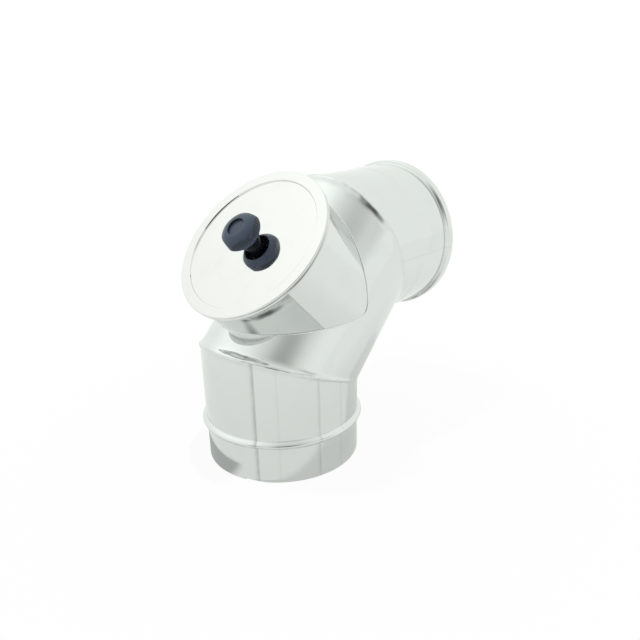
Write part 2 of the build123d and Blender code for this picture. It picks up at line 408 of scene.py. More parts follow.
def rim_notch(rows, angles):
    """Rows with the rim lifted a little beside the weld, where the sheet's end is not flush."""
    turn = np.degrees(np.angle(np.exp(1j * angles)))
    ramp = np.clip((turn - NOTCH_START) / (NOTCH_END - NOTCH_START), 0, 1) * (turn <= NOTCH_END)
    low = np.clip(1 - rows[..., 2] / NOTCH_REACH, 0, 1)
    return rows + (NOTCH_LIFT * low * ramp)[..., None] * spigot_axis


def lower_spigot():
    bead_end = STOP_BEAD_START + STOP_BEAD_WIDTH
    plain = bent_line([(male_radius, 0), (male_radius, STOP_BEAD_START)], 0)
    bead = swelling(plain[-1], (tube_radius, bead_end), stop_crest, BEAD_STEPS)
    wall_line = bent_line([(tube_radius, bead_end), (tube_radius, bead_end + BEAD_MARGIN)], 0)
    line = np.concatenate([plain, bead, wall_line])
    return mitred_tube(
        "spigot_tube",
        "lower_spigot",
        line,
        np.zeros(3),
        spigot_axis,
        -socket_axis,
        lower_mitre,
        1,
        [SPIGOT_WELD, *SPIGOT_ROLL_LINES],
        rim_notch,
    )


pieces["spigot_tube"] = lower_spigot()

# %% [markdown]
# ## The middle tube
# The gore runs from mitre to mitre, and a large hole for the branch is cut in its outer side. A boolean
# would leave long thin faces that show in a mirror finish. Here the columns follow the cut instead:
# where a column meets the hole it ends on the branch's circle, and elsewhere the two halves of the
# tube meet in the middle, where their points are merged.

# %% Middle gore
HOLE_CLEARANCE = 1.1
CROWN_COLUMNS = 121
BELLY_COLUMNS = 150
hole_radius = tube_radius - HOLE_CLEARANCE
gore_shares = np.array([0, 0.02, 0.1, 0.25, 0.5, 0.75, 0.9, 0.98])


def gore_columns(radius):
    """Angles round the gore, and how far from its middle each column starts."""
    lean = np.linspace(-math.pi / 2, math.pi / 2, CROWN_COLUMNS)
    crown = np.arcsin(hole_radius / radius * np.sin(lean))
    belly = np.linspace(crown[-1], 2 * math.pi + crown[0], BELLY_COLUMNS + 2)[1:-1]
    start = np.concatenate([hole_radius * np.cos(lean), np.zeros(BELLY_COLUMNS)])
    start[[0, CROWN_COLUMNS - 1]] = 0
    return np.concatenate([crown, belly]), start


def gore_half(way, centre, next_axis, next_out, radius, rise):
    """Rows of one half of the gore, from its middle to one mitre."""
    angles, start = gore_columns(radius)
    spokes = directions(angles, branch_axis)
    axis = way * gore_axis
    spans = (GORE_REACH, TUBE_REACH)
    seam = seam_rows(centre, axis, branch_axis, next_axis, next_out, radius, angles, rise, spans)
    first = gore_middle + radius * spokes + start[:, None] * axis
    run = first + gore_shares[:, None, None] * (seam[0] - first)
    return np.concatenate([run, seam])


def middle_gore():
    ends = [(-1, lower_mitre, -spigot_axis, -socket_axis), (1, upper_mitre, socket_axis, spigot_axis)]
    points, faces, marks, count = [], [], [], 0
    along = np.concatenate([np.zeros(len(gore_shares)), seam_marks])
    for way, centre, next_axis, next_out in ends:
        half = (way, centre, next_axis, next_out)
        skins = [gore_half(*half, tube_radius - wall, rise) for wall, rise in SKINS]
        rows, columns = skins[0].shape[:2]
        skin_size = rows * columns
        for layer, skin in enumerate(skins):
            faces.append(quads(rows, columns, False) + count + layer * skin_size)
            points.append(skin.reshape(-1, 3))
            marks.append(np.repeat(along, columns))
        rim = quads(2, columns, False)
        last = (rows - 1) * columns
        mitre_rim = np.where(rim < columns, rim + last, rim - columns + skin_size + last)
        hole_rim = np.where(rim < columns, rim, rim - columns + skin_size)[: CROWN_COLUMNS - 1]
        faces += [mitre_rim + count, hole_rim + count]
        count += 2 * skin_size
    mesh = finished_mesh("gore_tube", np.concatenate(points), np.concatenate(faces), np.concatenate(marks))
    return place("gore_tube", mesh, "elbow", "middle_gore")


pieces["gore_tube"] = middle_gore()

# %% [markdown]
# ## The upper tube
# The last tube is opened a little at its far end, so that the next pipe can slide in, and a ring is
# swaged round its mouth to hold a seal. The line runs from the mitre outwards this time, and the
# seam's rows come first.

# %% Upper socket
RING_WIDTH = 8.7
RING_SLOPE = 1.2
RING_LIP = 1.1
RING_LIP_DROP = 1.9
SOCKET_DEPTH = 34.0
SOCKET_STEP_RUN = 4.0
SOCKET_BEND = 1.1
MITRE_MARGIN = 4.0
socket_radius = mounts["socket"]["dims"]["r_mm"] + WALL
ring_crest = top_of("upper_socket")[1]
ring_end = top_of("upper_socket")[0] - upper_mitre[0]
ring_start = ring_end - RING_WIDTH


def upper_socket():
    opened = ring_start - SOCKET_DEPTH
    line = bent_line(
        [
            (tube_radius, opened - SOCKET_STEP_RUN - MITRE_MARGIN),
            (tube_radius, opened - SOCKET_STEP_RUN),
            (socket_radius, opened),
            (socket_radius, ring_start),
            (ring_crest, ring_start + RING_SLOPE),
            (ring_crest, ring_end - RING_LIP),
            (ring_crest - RING_LIP_DROP, ring_end),
        ],
        SOCKET_BEND,
    )
    return mitred_tube(
        "socket_tube",
        "upper_socket",
        line,
        upper_mitre,
        socket_axis,
        spigot_axis,
        upper_mitre,
        -1,
        [SOCKET_WELD],
    )


pieces["socket_tube"] = upper_socket()

# %% [markdown]
# ## The inspection branch
# The branch has nearly the same diameter as the tube that it stands on, so its foot follows a deep saddle
# curve. Every column starts where its circle meets the gore and rises to a round bead at the mouth. Rolling
# leaves the sheet almost flat beside its straight weld, which a mirror finish shows as one even patch. So
# small a change of shape would need very fine faces, so the normals of the corners are leaned instead. A
# band of painted shade is stored under the lid, and a line of it at the foot of the bead.

# %% Inspection branch
BRANCH_STEP = 0.5
MOUTH_BEAD_WIDTH = 4.6
MOUTH_BEAD_RISE = 2.7
MOUTH_LIP = 1.0
LID_SHEET = 0.8
NECK_MARGIN = 3.0
FLAT_EDGE = -31.0
FLAT_BEND = 0.97
# Painted shade: how dark the band under the lid is, where it starts and how fast it grows, and the width of the
# shaded line at the bead's foot
MOUTH_SHADE = 0.7
MOUTH_SHADE_START = 1.6
MOUTH_SHADE_RUN = 1.0
BEAD_SHADE_WIDTH = 0.35
branch_radius = tube_radius - BRANCH_STEP
mouth = lid_top - LID_SHEET
bead_top = mouth - MOUTH_LIP
branch_out = -gore_axis


def saddle_height(angles, radius):
    """Height where a circle of that radius about the branch's axis meets the gore."""
    return np.sqrt(tube_radius ** 2 - (radius * np.sin(angles)) ** 2)


def lean_flat(mesh, top):
    """Normals of the sheet beside the branch's weld, which the rollers left nearly flat."""
    weld = math.radians(BRANCH_WELD[0])
    edge = math.radians(FLAT_EDGE)
    normals = [corner.vector.copy() for corner in mesh.corner_normals]
    for face in mesh.polygons:
        arm = np.array(face.center) / MM - gore_middle
        turn = math.atan2(arm @ side, arm @ branch_out)
        outside = np.array(face.normal) @ (arm - (arm @ branch_axis) * branch_axis) > 0
        if not weld < turn < edge or arm @ branch_axis > top or not outside:
            continue
        for loop in face.loop_indices:
            arm = np.array(mesh.vertices[mesh.loops[loop].vertex_index].co) / MM - gore_middle
            turn = math.atan2(arm @ side, arm @ branch_out)
            leaned = turn + FLAT_BEND * (edge - turn)
            normals[loop] = Vector(directions(np.array([leaned]), branch_out)[0])
    mesh.normals_split_custom_set(normals)


def inspection_branch():
    bead_foot = bead_top - MOUTH_BEAD_WIDTH
    neck = bent_line([(branch_radius, bead_foot - NECK_MARGIN), (branch_radius, bead_foot)], 0)
    bead = swelling(neck[-1], (branch_radius, bead_top), branch_radius + MOUTH_BEAD_RISE, BEAD_STEPS)
    line = np.concatenate([neck, bead, [(branch_radius, bead_top), (branch_radius, mouth)]])
    angles = with_grooves([BRANCH_WELD])
    depth, mark = groove_depth(angles, [BRANCH_WELD])
    spokes = directions(angles, branch_out)
    skins = []
    for wall in (0, WALL):
        radius = branch_radius - wall
        base = turned(step_in(line, wall), gore_middle, branch_axis, branch_out, angles)
        foot = gore_middle + radius * spokes + saddle_height(angles, radius)[:, None] * branch_axis
        rows = np.concatenate([foot[None], between(foot, base[0]), base])
        skins.append(press(rows, gore_middle, branch_axis, depth))
    rows = closed_shell(skins)
    height = (rows - gore_middle) @ branch_axis
    # Painted shade under the lid and along the foot of the bead, stored with the weld marks
    above = height - (bead_top - MOUTH_SHADE_START)
    shade_under_lid = MOUTH_SHADE * np.clip(above / MOUTH_SHADE_RUN, 0, 1)
    bead_foot_shade = np.exp(-((height - bead_foot) / BEAD_SHADE_WIDTH) ** 2)
    shade = np.maximum(mark[None], np.maximum(shade_under_lid, bead_foot_shade))
    piece = grid_piece("branch_tube", rows, "elbow", "inspection_branch", shade)
    lean_flat(piece.data, bead_foot)
    return piece


pieces["branch_tube"] = inspection_branch()

# %% [markdown]
# ## The saddle weld
# The branch is welded to the gore along its foot, in a thin round bead with uneven ripples. A curve with a
# bevel would be even all along, so the bead is a grid swept along the saddle curve, whose thickness
# changes from column to column, and it gets a rougher finish of its own.

# %% Saddle weld
SADDLE_BEAD = 0.55
SADDLE_SIDES = 10
SADDLE_COLUMNS = 900
SADDLE_RIPPLES = [(0.07, 190, 0.0)]
SADDLE_WANDER = 0.14
SADDLE_OUT = 0.1


def saddle_weld():
    angles = np.linspace(0, 2 * math.pi, SADDLE_COLUMNS, endpoint=False)
    spokes = directions(angles, branch_out)
    height = saddle_height(angles, branch_radius)
    line = gore_middle + (branch_radius + SADDLE_OUT) * spokes + height[:, None] * branch_axis
    along = np.roll(line, -1, axis=0) - np.roll(line, 1, axis=0)
    along /= np.linalg.norm(along, axis=1)[:, None]
    across = np.cross(along, spokes)
    wander = SADDLE_WANDER * np.sin(23 * angles + 1) * np.sin(7 * angles)
    thickness = SADDLE_BEAD * (uneven(angles, SADDLE_RIPPLES) + wander)
    rows = []
    for turn in np.linspace(0, 2 * math.pi, SADDLE_SIDES, endpoint=False):
        around = math.cos(turn) * spokes + math.sin(turn) * across
        rows.append(line + thickness[:, None] * around)
    return grid_piece("saddle_weld", np.array(rows), "elbow")


pieces["saddle_weld"] = saddle_weld()

# %% [markdown]
# ## The lid
# The lid is pressed from slightly thicker sheet: a flat rim that rests on the mouth, a shallow recessed
# panel, and an edge that is folded down and in. Its section is a closed outline, so it is turned about
# the branch's axis in one go, with small rounded bends.

# %% Lid
RIM_WIDTH = 8.6
PANEL_DEPTH = 1.2
PANEL_SLOPE = 0.6
HEM_DROP = 1.0
HEM_CLEARANCE = 0.4
STUD_HOLE = 4.4
LID_BEND = 0.34
LID_EDGE_BEND = 0.72
lid_edge = top_of("inspection_lid")[1]
panel_top = lid_top - PANEL_DEPTH


def outline_piece(name, corners, radius, body, node):
    """Piece turned about the branch's axis from a closed outline with rounded corners."""
    start = (np.array(corners[0]) + np.array(corners[-1])) / 2
    line = bent_line([start, *corners, start], radius)[:-1]
    rows = turned(line, gore_middle, branch_axis, branch_out, even_angles)
    return grid_piece(name, rows, body, node)


panel_radius = lid_edge - RIM_WIDTH
lid_outline = [
    (STUD_HOLE, panel_top),
    (panel_radius - PANEL_SLOPE, panel_top),
    (panel_radius, lid_top),
    (lid_edge, lid_top),
    (lid_edge, mouth - HEM_DROP),
    (branch_radius + HEM_CLEARANCE, mouth - HEM_DROP),
    (branch_radius + HEM_CLEARANCE, mouth),
    (panel_radius + LID_SHEET, mouth),
    (panel_radius + LID_SHEET - PANEL_SLOPE, panel_top - LID_SHEET),
    (STUD_HOLE, panel_top - LID_SHEET),
]
lid_bends = [LID_EDGE_BEND if corner[0] == lid_edge else LID_BEND for corner in lid_outline]
pieces["lid_plate"] = outline_piece("lid_plate", lid_outline, lid_bends, "lid_plug", "inspection_lid")

# %% [markdown]
# ## The knob
# The knob is moulded plastic: a domed cap with a shallow round dimple on top, five leaning facets round
# its side for the fingers, and a hollow underside with a hub for the stud. A boolean would leave hard edges,
# so the side is a formula: at each height the radius is the smaller of the cap's own radius and the
# distance to the nearest facet, with a soft change from one to the other. The facets above the waist, the
# dimple's wall and the hollow are stored as places of painted shade, which darkens their colour.

# %% Knob
KNOB_COLUMNS = 300
KNOB_RADIUS = 16.8
KNOB_HEIGHT = 19.4
KNOB_WAIST = 12.4
SKIRT_HEIGHT = 5.8
SKIRT_INSET = 2.6
SKIRT_WALL = 1.4
CAVITY_DEPTH = 6.6
HUB_RADIUS = 6.6
STUD_BORE = 4.03
STUD_BITE = 13.0
DIMPLE_RADIUS = 7.4
DIMPLE_DEPTH = 2.0
DIMPLE_WALL = 0.25
FACETS = 5
FACET_DEPTH = 1.6
FACET_LEAN = math.tan(math.radians(-8))
FACET_TURN = 30.0
FACET_EDGE = 0.2
# Painted shade on the facets above the waist, fading out below it, and on the dimple's wall
FACET_SHADE = 0.5
FACET_FADE = 3.0
DIMPLE_SHADE = 0.8
CROWN_EDGE = 0.5
CROWN_FALL = (1, -0.05)
FLANK_LEAN = (-0.8, -1)
DIMPLE_LIP = 0.1
DIMPLE_BEND = 0.5
DOME_STEPS = 30
FLANK_STEPS = 22
UNDER_BEND = 0.35
SKIRT_EDGE_ROWS = 6
WASHER_THICKNESS = 1.6
knob_foot = panel_top + WASHER_THICKNESS


def curve(start, start_way, end, end_way, steps):
    """Points of a smooth curve between two points with given directions, without its first point."""
    start, end = np.array(start, float), np.array(end, float)
    pull = np.linalg.norm(end - start) / 3
    first = start + pull * np.array(start_way) / np.linalg.norm(start_way)
    second = end - pull * np.array(end_way) / np.linalg.norm(end_way)
    share = np.linspace(0, 1, steps + 1)[1:, None]
    rest = 1 - share
    return rest ** 3 * start + 3 * rest * share * (rest * first + share * second) + share ** 3 * end


def knob_line():
    """Line from the middle of the knob's dimple down its side and up into the bore, and its painted shade."""
    skirt = KNOB_RADIUS - FACET_DEPTH - SKIRT_INSET
    inside = skirt - SKIRT_WALL
    ceiling = SKIRT_HEIGHT + CAVITY_DEPTH
    floor = KNOB_HEIGHT - DIMPLE_DEPTH
    crown = (DIMPLE_RADIUS + CROWN_EDGE, KNOB_HEIGHT)
    dimple_lip = (DIMPLE_RADIUS, KNOB_HEIGHT - DIMPLE_LIP)
    top = bent_line([(0, floor), (DIMPLE_RADIUS - DIMPLE_WALL, floor), dimple_lip, crown], DIMPLE_BEND)
    waist = (KNOB_RADIUS, KNOB_WAIST)
    dome = curve(crown, CROWN_FALL, waist, (0, -1), DOME_STEPS)
    flank = curve(waist, (0, -1), (skirt, SKIRT_HEIGHT), FLANK_LEAN, FLANK_STEPS)
    under = bent_line(
        [
            (skirt, SKIRT_HEIGHT),
            (inside, SKIRT_HEIGHT),
            (inside, ceiling),
            (HUB_RADIUS, ceiling),
            (HUB_RADIUS, 0),
            (STUD_BORE, 0),
            (STUD_BORE, STUD_BITE),
            (0, STUD_BITE),
        ],
        UNDER_BEND,
    )
    # Painted shade on the dimple's wall, and full painted shade in the hollow underside
    wall = (top[:, 0] > DIMPLE_RADIUS - 2 * DIMPLE_WALL) & (top[:, 1] < KNOB_HEIGHT - DIMPLE_WALL)
    plain = np.zeros(len(dome) + len(flank) + SKIRT_EDGE_ROWS)
    painted_shade = np.concatenate([DIMPLE_SHADE * wall, plain, np.ones(len(under) - 1 - SKIRT_EDGE_ROWS)])
    return np.concatenate([top, dome, flank, under[1:]]), painted_shade


def faceted(radius, height, angles):
    """Radii of the knob's side with the leaning facets cut in."""
    pitch = 2 * math.pi / FACETS
    lean = (angles - math.radians(FACET_TURN) + pitch / 2) % pitch - pitch / 2
    middle = KNOB_RADIUS - FACET_DEPTH
    offset = (KNOB_RADIUS ** 2 - middle ** 2) / (2 * (middle - KNOB_RADIUS * math.cos(pitch / 2)))
    face = np.sqrt((middle + offset) ** 2 - (offset * np.sin(lean)) ** 2) - offset * np.cos(lean)
    face = face + FACET_LEAN * (height - KNOB_WAIST)
    blend = np.maximum(FACET_EDGE - np.abs(radius - face), 0) / FACET_EDGE
    return np.minimum(radius, face) - blend ** 2 * FACET_EDGE / 4


def about_branch(radius, height, angles):
    """Rows about the branch's axis, with a radius for each row and column and a height for each row."""
    spokes = directions(angles, branch_out)
    return gore_middle + radius[..., None] * spokes[None] + height[:, None, None] * branch_axis


def knob():
    line, painted_shade = knob_line()
    angles = np.linspace(0, 2 * math.pi, KNOB_COLUMNS, endpoint=False)
    radius = faceted(line[:, 0:1], line[:, 1:2], angles[None])
    rows = about_branch(radius, knob_foot + line[:, 1], angles)
    # Painted shade where a facet cuts the side, above the waist
    cut = np.clip((line[:, 0:1] - radius) / FACET_EDGE, 0, 1)
    upper = np.clip((line[:, 1:2] - KNOB_WAIST) / FACET_FADE + 1, 0, 1)
    shade = np.maximum(painted_shade[:, None], FACET_SHADE * cut * upper)
    return grid_piece("lid_knob", rows, "knob_and_stud", "knob", shade, loop=False)


pieces["lid_knob"] = knob()

# %% [markdown]
# ## The clamp under the lid
# The knob turns a threaded stud that draws a dished plate towards the lid, and a soft ring between them
# swells against the branch's bore. These pieces show when the lid is lifted out. All three are turned about
# the branch's axis from closed outlines, as the lid is, so a table of outlines and one loop make them.

# %% Turned clamp pieces
RING_HEIGHT = 15.0
RING_BREADTH = 12.0
RING_GAP = 0.3
PLATE_SHEET = 1.5
PLATE_MARGIN = 1.1
PLATE_RISE = 6.0
PLATE_SLOPE = 8.0
WASHER_RADIUS = 7.2
ring_outer = branch_radius - WALL - RING_GAP
ring_inner = ring_outer - RING_BREADTH
ring_top = panel_top - LID_SHEET
ring_under = ring_top - RING_HEIGHT
dish_top = ring_under + PLATE_RISE
plate_edge = ring_outer - PLATE_MARGIN

washer_outline = [
    (STUD_HOLE, knob_foot),
    (WASHER_RADIUS, knob_foot),
    (WASHER_RADIUS, panel_top),
    (STUD_HOLE, panel_top),
]
ring_outline = [
    (ring_inner, ring_top),
    (ring_outer, ring_top),
    (ring_outer, ring_under),
    (ring_inner, ring_under),
]
plate_line = [
    (STUD_HOLE, dish_top),
    (ring_inner - PLATE_SLOPE, dish_top),
    (ring_inner, ring_under),
    (plate_edge, ring_under),
]
plate_outline = plate_line + [(r, h - PLATE_SHEET) for r, h in reversed(plate_line)]
turned_pieces = [
    ("washer_disc", washer_outline, 0.3, "lid_plug", "knob_washer"),
    ("sealing_ring", ring_outline, 1.3, "lid_plug", "expansion_ring"),
    ("clamp_dish", plate_outline, 0.6, "clamp_plate", "pressure_plate"),
]
for name, outline, radius, body, node in turned_pieces:
    pieces[name] = outline_piece(name, outline, radius, body, node)

# %% [markdown]
# ## The stud and its nut
# The stud's thread is a radius that falls and rises once in each pitch, shifted with the angle so that it
# climbs, and the nut is a hexagon cut by a cone at both ends. Both could be cut from simple bodies by
# booleans, but a formula for the radius gives even rows and no stray faces.

# %% Stud and nut
STUD_RADIUS = 4.0
STUD_CHAMFER = 0.8
STUD_EDGE = 0.3
STUD_BEND = 0.12
STUD_COLUMNS = 48
STUD_TIP = 2.4
THREAD_PITCH = 1.25
THREAD_DEPTH = 0.62
THREAD_ROUND = 0.8
THREAD_STEPS = 12
THREAD_FADE = 1.2
THREAD_START = 0.05
THREAD_MARGIN = 1.0
THREAD_FIT = 0.05
NUT_WIDTH = 13.0
NUT_HEIGHT = 6.5
NUT_CHAMFER = 0.9
NUT_CONE = 1.9
NUT_CONE_INSET = 0.1
NUT_EASE = 0.5
NUT_STEPS = 8
NUT_COLUMNS = 180
CLIP_DROP = 4.4
CLIP_THICKNESS = 1.0
CLIP_GROOVE = 0.7
nut_top = dish_top - PLATE_SHEET
clip_top = nut_top - NUT_HEIGHT - CLIP_DROP
clip_under = clip_top - CLIP_THICKNESS
stud_end = clip_under - STUD_TIP


def clamp_stud():
    top = knob_foot + STUD_BITE
    thread_end = ring_top - THREAD_MARGIN
    groove = STUD_RADIUS - CLIP_GROOVE
    low = bent_line(
        [
            (0, stud_end),
            (STUD_RADIUS - STUD_CHAMFER, stud_end),
            (STUD_RADIUS, stud_end + STUD_CHAMFER),
            (STUD_RADIUS, clip_under),
            (groove, clip_under),
            (groove, clip_top),
            (STUD_RADIUS, clip_top),
        ],
        STUD_BEND,
    )
    fine = np.arange(clip_top + THREAD_START, thread_end, THREAD_PITCH / THREAD_STEPS)
    thread = np.stack([np.full_like(fine, STUD_RADIUS), fine], 1)
    high = np.array(
        [
            (STUD_RADIUS, thread_end + STUD_EDGE),
            (STUD_RADIUS, top - STUD_EDGE),
            (STUD_RADIUS - STUD_EDGE, top),
            (0, top),
        ]
    )
    line = np.concatenate([low, thread, high])
    angles = np.linspace(0, 2 * math.pi, STUD_COLUMNS, endpoint=False)
    height = line[:, 1:2]
    phase = 2 * math.pi * height / THREAD_PITCH - angles[None]
    begins = np.clip((height - clip_top) / THREAD_FADE, 0, 1)
    ends = np.clip((thread_end - height) / THREAD_FADE, 0, 1)
    radius = line[:, 0:1] - THREAD_DEPTH * begins * ends * (0.5 - 0.5 * np.cos(phase)) ** THREAD_ROUND
    rows = about_branch(radius, line[:, 1], angles)
    return grid_piece("clamp_screw", rows, "knob_and_stud", "clamp_stud", loop=False)


def plate_nut():
    angles = np.linspace(0, 2 * math.pi, NUT_COLUMNS, endpoint=False)
    lean = angles % (math.pi / 3) - math.pi / 6
    flats = NUT_WIDTH / 2 / np.cos(lean)
    chamfer = np.linspace(0, NUT_CHAMFER, NUT_STEPS)
    flank = np.linspace(NUT_CHAMFER, NUT_HEIGHT - NUT_CHAMFER, 4)[1:-1]
    heights = np.concatenate([chamfer, flank, NUT_HEIGHT - chamfer[::-1]])
    cone = NUT_WIDTH / 2 - NUT_CONE_INSET + NUT_CONE * np.minimum(heights, NUT_HEIGHT - heights)
    outside = np.minimum(flats[None], cone[:, None])
    bore = np.full((1, len(angles)), STUD_RADIUS + THREAD_FIT)
    eased = bore + NUT_EASE
    radius = np.concatenate([bore, bore, eased, outside, eased, bore])
    bore_top = NUT_HEIGHT - NUT_EASE
    height = np.concatenate([[bore_top, NUT_EASE, 0], heights, [NUT_HEIGHT, bore_top]])
    rows = about_branch(radius, nut_top - NUT_HEIGHT + height, angles)
    return grid_piece("clamp_nut", rows, "clamp_plate", "plate_nut")


pieces["clamp_screw"] = clamp_stud()
pieces["clamp_nut"] = plate_nut()

# %% [markdown]
# ## The seal in the socket
# A soft ring lies in the groove behind the socket's mouth. A real one has small lips that the next pipe
# presses down, so its section gets two low ribs towards the bore. It is turned about the socket's axis.

# %% Socket seal
SEAL_INSET = 2.8
SEAL_RELIEF = 0.08
SEAL_GAP = 0.1
SEAL_EDGE = 0.3
RIBS = 2
RIB_DEPTH = 0.7
RIB_STATIONS = 29


def socket_seal():
    inner = socket_radius - WALL + SEAL_RELIEF
    outer = ring_crest - WALL - SEAL_GAP
    low = ring_start + SEAL_INSET
    high = ring_end - RING_LIP - WALL
    low_edge, high_edge, back_edge = low + SEAL_EDGE, high - SEAL_EDGE, outer - SEAL_EDGE
    stations = np.linspace(low_edge, high_edge, RIB_STATIONS)
    wave = 0.5 + 0.5 * np.cos(2 * math.pi * RIBS * (stations - low) / (high - low))
    ribs = np.stack([inner + RIB_DEPTH * wave, stations], 1)
    back = np.array([(back_edge, high), (outer, high_edge), (outer, low_edge), (back_edge, low)])
    line = np.concatenate([ribs, back])
    rows = turned(line, upper_mitre, socket_axis, spigot_axis, even_angles)
    return grid_piece("mouth_seal", rows, "elbow", "socket_seal")


pieces["mouth_seal"] = socket_seal()

# %% [markdown]
# ## Shared finishes
# Several materials need the same small effects: sheet that is never quite flat, finger marks that make a
# polish a little duller, and the grain of a weld. Each effect is a node group with named sockets, built
# once and placed in every material that needs it, with its own values there.

# %% Node helpers
def new_group(name, inputs, outputs):
    """Shader node group with number sockets, and its input and output nodes."""
    group = bpy.data.node_groups.new(name, "ShaderNodeTree")
    for label, default in inputs:
        socket = group.interface.new_socket(label, in_out="INPUT", socket_type="NodeSocketFloat")
        socket.default_value = default
    for label in outputs:
        group.interface.new_socket(label, in_out="OUTPUT", socket_type="NodeSocketFloat")
    return group, group.nodes.new("NodeGroupInput"), group.nodes.new("NodeGroupOutput")


def math_node(tree, operation, first, second=None):
    """Math node fed by sockets or numbers."""
    node = tree.nodes.new("ShaderNodeMath")
    node.operation = operation
    for socket, value in zip(node.inputs, (first, second)):
        if isinstance(value, (int, float)):
            socket.default_value = value
        elif value is not None:
            tree.links.new(value, socket)
    return node.outputs[0]


def noise(tree, scale, detail=2.0, stretch=(1, 1, 1), turn=(0, 0, 0)):
    """Noise in the object's own space, in metres, stretched and turned."""
    place_node = tree.nodes.new("ShaderNodeTexCoord")
    mapping = tree.nodes.new("ShaderNodeMapping")
    mapping.inputs["Scale"].default_value = stretch
    mapping.inputs["Rotation"].default_value = turn
    texture = tree.nodes.new("ShaderNodeTexNoise")
    texture.inputs["Detail"].default_value = detail
    if isinstance(scale, (int, float)):
        texture.inputs["Scale"].default_value = scale
    else:
        tree.links.new(scale, texture.inputs["Scale"])
    tree.links.new(place_node.outputs["Object"], mapping.inputs["Vector"])
    tree.links.new(mapping.outputs["Vector"], texture.inputs["Vector"])
    return texture.outputs["Fac"]


def band(tree, value, low, high):
    """Value mapped smoothly from 0 at low to 1 at high."""
    node = tree.nodes.new("ShaderNodeMapRange")
    node.interpolation_type = "SMOOTHSTEP"
    node.inputs["From Min"].default_value = low
    node.inputs["From Max"].default_value = high
    tree.links.new(value, node.inputs["Value"])
    return node.outputs["Result"]


print("node helpers ready")

# %% Sheet relief, handling marks and weld grain
GRAIN_SCALE = 2400.0
SMUDGE_BAND = (0.5, 0.72)
SCRATCH_SETS = [(9.0, (1, 60, 60), (0.4, 0.2, 0.7), 0.66), (7.0, (55, 1, 55), (0.2, 0.9, 0.1), 0.67)]
SCRATCH_EDGE = 0.06
WELD_PATCHES = 160.0
WELD_PATCH_BAND = (0.3, 0.62)
WELD_PATCH_SHARE = 0.3


def sheet_relief():
    inputs = [("Swell", 0.1), ("Swell Scale", 16.0), ("Grain", 0.0)]
    group, given, result = new_group("sheet_relief", inputs, ["Height"])
    slow = noise(group, given.outputs["Swell Scale"], 1.0)
    swell = math_node(group, "MULTIPLY", slow, given.outputs["Swell"])
    grain = math_node(group, "MULTIPLY", noise(group, GRAIN_SCALE, 3.0), given.outputs["Grain"])
    group.links.new(math_node(group, "ADD", swell, grain), result.inputs["Height"])
    return group


def handling_marks():
    inputs = [("Size", 45.0), ("Scratches", 0.5)]
    group, given, result = new_group("handling_marks", inputs, ["Smudge", "Scratch"])
    smudge = band(group, noise(group, given.outputs["Size"], 4.0), *SMUDGE_BAND)
    scratches = []
    for scale, stretch, turn, low in SCRATCH_SETS:
        streaks = noise(group, scale, 2.0, stretch, turn)
        scratches.append(band(group, streaks, low, low + SCRATCH_EDGE))
    both = math_node(group, "MAXIMUM", *scratches)
    group.links.new(smudge, result.inputs["Smudge"])
    group.links.new(math_node(group, "MULTIPLY", both, given.outputs["Scratches"]), result.inputs["Scratch"])
    return group


def weld_grain():
    group, given, result = new_group("weld_grain", [("Seam", 0.0), ("Size", 900.0)], ["Mask", "Height"])
    mottle = noise(group, given.outputs["Size"], 3.0)
    patches = band(group, noise(group, WELD_PATCHES, 2.0), *WELD_PATCH_BAND)
    patchy = math_node(group, "MULTIPLY", patches, WELD_PATCH_SHARE)
    mostly = math_node(group, "ADD", patchy, 1 - WELD_PATCH_SHARE)
    mask = math_node(group, "MULTIPLY", given.outputs["Seam"], mostly)
    group.links.new(mask, result.inputs["Mask"])
    group.links.new(math_node(group, "MULTIPLY", mask, mottle), result.inputs["Height"])
    return group


groups = {"relief": sheet_relief(), "marks": handling_marks(), "weld": weld_grain()}
print("node groups:", ", ".join(group.name for group in groups.values()))

# %% [markdown]
# ## Bright stainless sheet
# The tubes and the lid are bright annealed stainless: almost a mirror, faintly green-grey, with finger
# marks that show as slightly duller patches. The welds are greyer and rougher, and the seam value
# stored in the meshes says where they are; on the branch the same value also paints shade under the lid
# and at the foot of the bead, in the weld's grey. One function makes the sheet, and the lid and the loose
# weld bead get their own values.

# %% Steel materials
SMUDGE_TINT = 0.3
SMUDGE_DULL = 0.05
SCRATCH_DULL = 0.08
WELD_DULL = 0.22
WELD_RELIEF = 0.12


def add_group(tree, key, **values):
    """Place a shared group in a material and set its inputs."""
    node = tree.nodes.new("ShaderNodeGroup")
    node.node_tree = groups[key]
    for label, value in values.items():
        node.inputs[label.replace("_", " ")].default_value = value
    return node


def blend_colour(tree, share, first, second):
    """Mix of two colours, each a socket or three numbers."""
    node = tree.nodes.new("ShaderNodeMix")
    node.data_type = "RGBA"
    tree.links.new(share, node.inputs[0])
    for socket, colour in ((node.inputs[6], first), (node.inputs[7], second)):
        if isinstance(colour, tuple):
            socket.default_value = (*colour, 1)
        else:
            tree.links.new(colour, socket)
    return node.outputs[2]


def new_material(name):
    """Empty material with a Principled shader."""
    material = bpy.data.materials.new(name)
    material.use_nodes = True
    return material, material.node_tree, material.node_tree.nodes["Principled BSDF"]


def add_bump(tree, shader, height, strength):
    """Feed a height in millimetres to the shader's normal."""
    bump = tree.nodes.new("ShaderNodeBump")
    bump.inputs["Distance"].default_value = MM
    bump.inputs["Strength"].default_value = strength
    tree.links.new(height, bump.inputs["Height"])
    tree.links.new(bump.outputs["Normal"], shader.inputs["Normal"])


def stored_seam(tree):
    """Value stored in a piece's mesh, which says where it is welded or carries painted shade."""
    node = tree.nodes.new("ShaderNodeAttribute")
    node.attribute_name = "seam"
    return node.outputs["Fac"]


